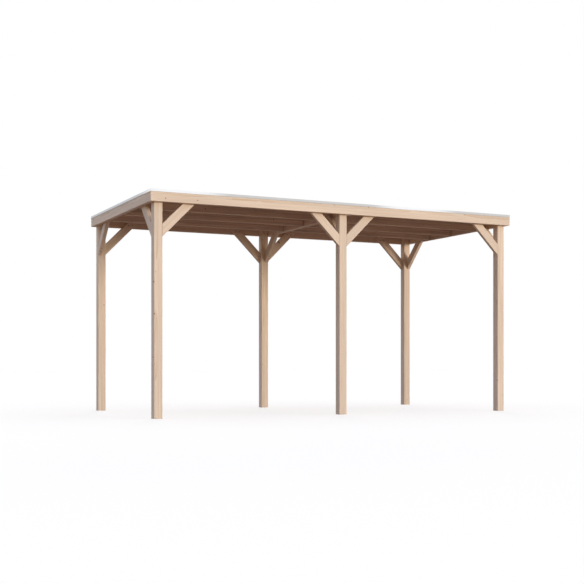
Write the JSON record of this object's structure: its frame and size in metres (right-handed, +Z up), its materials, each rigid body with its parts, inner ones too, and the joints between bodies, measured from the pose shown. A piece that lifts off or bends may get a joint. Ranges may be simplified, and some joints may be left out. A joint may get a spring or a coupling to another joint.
{
  "type": "garden pavilion",
  "caption": "Open timber garden pavilion: a flat roof with a pale metal edge trim on square posts with knee braces.",
  "frame": {"origin": "on the ground under the centre of the roof", "axes": "+X along the pavilion to its right end as seen from the front, +Y from the front to the back, +Z up"},
  "size_m": [4.64, 2.42, 2.43],
  "materials": {
    "frame_timber": "planed, untreated, matt",
    "roof_boards": "planed boards, matt",
    "roof_membrane": "matt",
    "roof_trim": "satin anodised"
  },
  "bodies": {
    "root": {"post_front_left": "frame_timber", "post_front_middle": "frame_timber", "post_front_right": "frame_timber", "post_back_left": "frame_timber", "post_back_middle": "frame_timber", "post_back_right": "frame_timber", "brace_front_left_along": "frame_timber", "brace_front_left_across": "frame_timber", "brace_front_middle_left": "frame_timber", "brace_front_middle_right": "frame_timber", "brace_front_middle_across": "frame_timber", "brace_front_right_along": "frame_timber", "brace_front_right_across": "frame_timber", "brace_back_left_along": "frame_timber", "brace_back_left_across": "frame_timber", "brace_back_middle_left": "frame_timber", "brace_back_middle_right": "frame_timber", "brace_back_middle_across": "frame_timber", "brace_back_right_along": "frame_timber", "brace_back_right_across": "frame_timber", "edge_beam_front": "frame_timber", "edge_beam_back": "frame_timber", "edge_beam_left": "frame_timber", "edge_beam_right": "frame_timber", "cross_beam": "frame_timber", "purlin_left_front": "frame_timber", "purlin_left_middle": "frame_timber", "purlin_left_back": "frame_timber", "purlin_right_front": "frame_timber", "purlin_right_middle": "frame_timber", "purlin_right_back": "frame_timber", "roof_deck": "roof_boards", "roof_membrane": "roof_membrane", "trim_front": "roof_trim", "trim_back": "roof_trim", "trim_left": "roof_trim", "trim_right": "roof_trim"}
  },
  "joints": []
}
